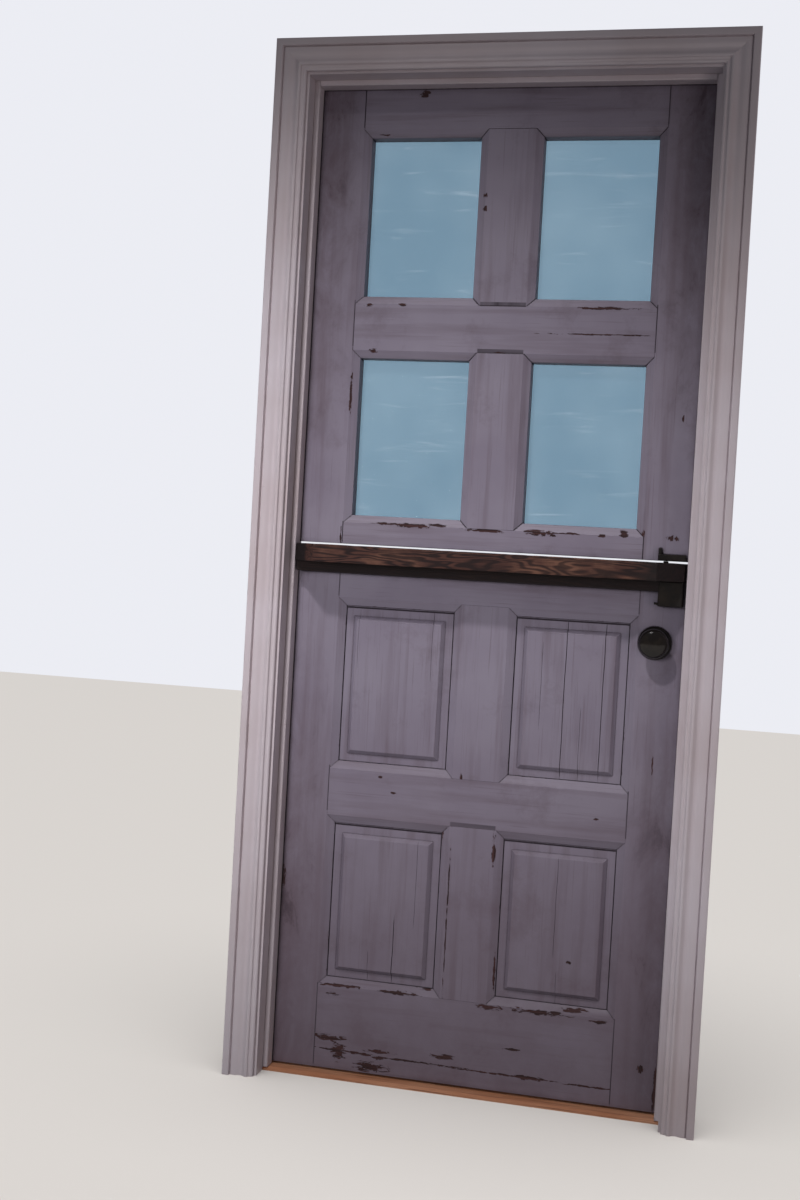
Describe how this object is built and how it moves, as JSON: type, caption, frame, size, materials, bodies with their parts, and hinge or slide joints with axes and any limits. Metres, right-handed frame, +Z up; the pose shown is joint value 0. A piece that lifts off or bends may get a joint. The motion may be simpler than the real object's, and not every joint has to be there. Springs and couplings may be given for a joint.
{
  "type": "stable door",
  "caption": "Dutch stable door hung in its frame: glazed upper leaf, raised-panel lower leaf with a shelf, knob latch, joining bolt, stops, moulded casing and threshold.",
  "frame": {"origin": "on the floor, at mid width, in the plane of the wall's room face, which is the back of the casing", "axes": "+Z up, +X from the hinge side to the latch side as seen from the room, +Y through the door and away from the room"},
  "size_m": [0.957, 0.1833, 2.116],
  "materials": {
    "door_paint": "old grey-lilac paint, chipped and grimy",
    "frame_paint": "off-white painted, satin",
    "pane_glass": "old, slightly wavy",
    "glazing_putty": "painted",
    "hinge_steel": "dull",
    "black_iron": "black, worn satin",
    "oak": "bare, worn",
    "shelf_wood": "brown stain on sawn timber",
    "batten_wood": "dark stain"
  },
  "bodies": {
    "frame": {"hinge_jamb": "frame_paint", "latch_jamb": "frame_paint", "head_jamb": "frame_paint", "hinge_stop": "frame_paint", "latch_stop": "frame_paint", "head_stop": "frame_paint", "hinge_casing": "frame_paint", "latch_casing": "frame_paint", "head_casing": "frame_paint", "threshold": "oak", "strike_plate": "hinge_steel", "upper_hinge_1_jamb_side": "hinge_steel", "upper_hinge_2_jamb_side": "hinge_steel", "lower_hinge_1_jamb_side": "hinge_steel", "lower_hinge_2_jamb_side": "hinge_steel", "hinge_pins": "hinge_steel", "jamb_hinge_screws": "hinge_steel"},
    "upper_leaf": {"upper_hinge_stile": "door_paint", "upper_latch_stile": "door_paint", "meeting_rail": "door_paint", "upper_mid_rail": "door_paint", "upper_top_rail": "door_paint", "upper_muntin_1": "door_paint", "upper_muntin_2": "door_paint", "glass_pane_1": "pane_glass", "glass_pane_2": "pane_glass", "glass_pane_3": "pane_glass", "glass_pane_4": "pane_glass", "lower_row_putty": "glazing_putty", "upper_row_putty": "glazing_putty", "bolt_keeper": "black_iron", "upper_hinge_1_door_side": "hinge_steel", "upper_hinge_2_door_side": "hinge_steel", "upper_hinge_screws": "hinge_steel"},
    "lower_leaf": {"lower_hinge_stile": "door_paint", "lower_latch_stile": "door_paint", "lower_bottom_rail": "door_paint", "lock_rail": "door_paint", "lower_top_rail": "door_paint", "lower_muntin_1": "door_paint", "lower_muntin_2": "door_paint", "raised_panel_1": "door_paint", "raised_panel_2": "door_paint", "raised_panel_3": "door_paint", "raised_panel_4": "door_paint", "shelf_plank": "shelf_wood", "shelf_batten": "batten_wood", "bolt_case": "black_iron", "latch_case": "hinge_steel", "room_rose": "black_iron", "far_rose": "black_iron", "lower_hinge_1_door_side": "hinge_steel", "lower_hinge_2_door_side": "hinge_steel", "lower_hinge_screws": "hinge_steel"},
    "joining_bolt": {"joining_bolt": "black_iron"},
    "knob_set": {"spindle": "hinge_steel", "latch_hub": "hinge_steel", "room_knob": "black_iron", "far_knob": "black_iron"},
    "latch_bolt": {"latch_bolt": "hinge_steel"}
  },
  "joints": [
    {"name": "upper_leaf_hinge", "type": "hinge", "parent": "frame", "child": "upper_leaf", "pos_m": [-0.408, 0.1193, 1.5645], "axis": [0, 0, 1], "range_deg": [0, 170]},
    {"name": "lower_leaf_hinge", "type": "hinge", "parent": "frame", "child": "lower_leaf", "pos_m": [-0.408, 0.1193, 0.5915], "axis": [0, 0, 1], "range_deg": [0, 170]},
    {"name": "joining_bolt_slide", "type": "slide", "parent": "lower_leaf", "child": "joining_bolt", "axis": [0, 0, 1], "range_m": [0, 0.021]},
    {"name": "knob_turn", "type": "hinge", "parent": "lower_leaf", "child": "knob_set", "pos_m": [0.3425, 0.092, 0.942], "axis": [0, 1, 0], "range_deg": [0, 60]},
    {"name": "latch_bolt_slide", "type": "slide", "parent": "lower_leaf", "child": "latch_bolt", "axis": [1, 0, 0], "range_m": [0, 0.012]}
  ],
  "couplings": [
    {"joint": "latch_bolt_slide", "follows": "knob_turn", "m_per_rad": 0.01145}
  ]
}
